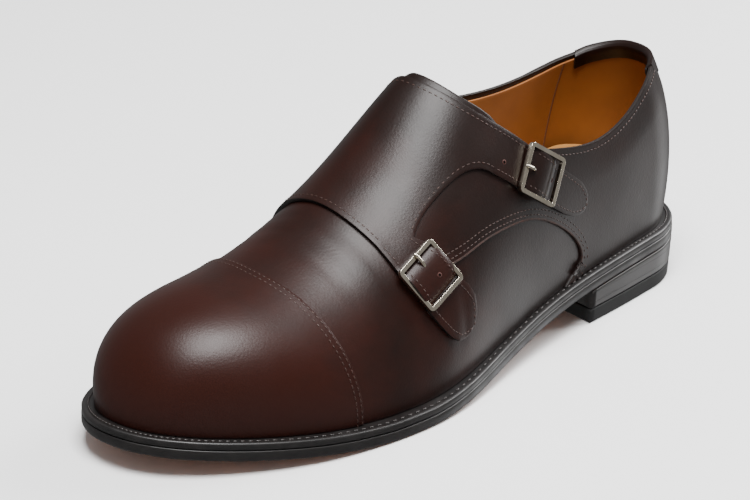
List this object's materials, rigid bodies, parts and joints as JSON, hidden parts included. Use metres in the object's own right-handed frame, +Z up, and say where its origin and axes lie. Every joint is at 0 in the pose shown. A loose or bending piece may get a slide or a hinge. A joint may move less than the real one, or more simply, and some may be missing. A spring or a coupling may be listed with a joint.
{
  "type": "monk strap shoe",
  "caption": "Man's left cap-toe monk strap dress shoe with buckled straps over the instep, a welted leather sole and a low stacked heel, hollow inside.",
  "frame": {"origin": "centre of the shoe's footprint on the floor, midway along and across its bounding box", "axes": "+X from the heel towards the toe, +Y to the wearer's left (the outer side of this left shoe), +Z up from the floor"},
  "size_m": [0.304, 0.1088, 0.1144],
  "materials": {
    "outsole": "orange-brown leather tread, blackened edge",
    "welt": "black waxed leather strip",
    "heel_stack": "black waxed stacked leather",
    "top_piece": "black rubber, matte",
    "insole": "undyed tan leather",
    "upper": "dark brown burnished calf, satin",
    "tongue": "dark brown burnished calf, satin",
    "strap_panel": "dark brown burnished calf, satin",
    "upper_buckle": "polished, faintly warm",
    "upper_prong": "polished, faintly warm",
    "lower_buckle": "polished, faintly warm",
    "lower_prong": "polished, faintly warm"
  },
  "bodies": {
    "root": {"outsole": "outsole", "welt": "welt", "heel_stack": "heel_stack", "top_piece": "top_piece", "insole": "insole", "upper": "upper", "tongue": "tongue", "strap_panel": "strap_panel", "upper_buckle": "upper_buckle", "upper_prong": "upper_prong", "lower_buckle": "lower_buckle", "lower_prong": "lower_prong"}
  },
  "joints": []
}
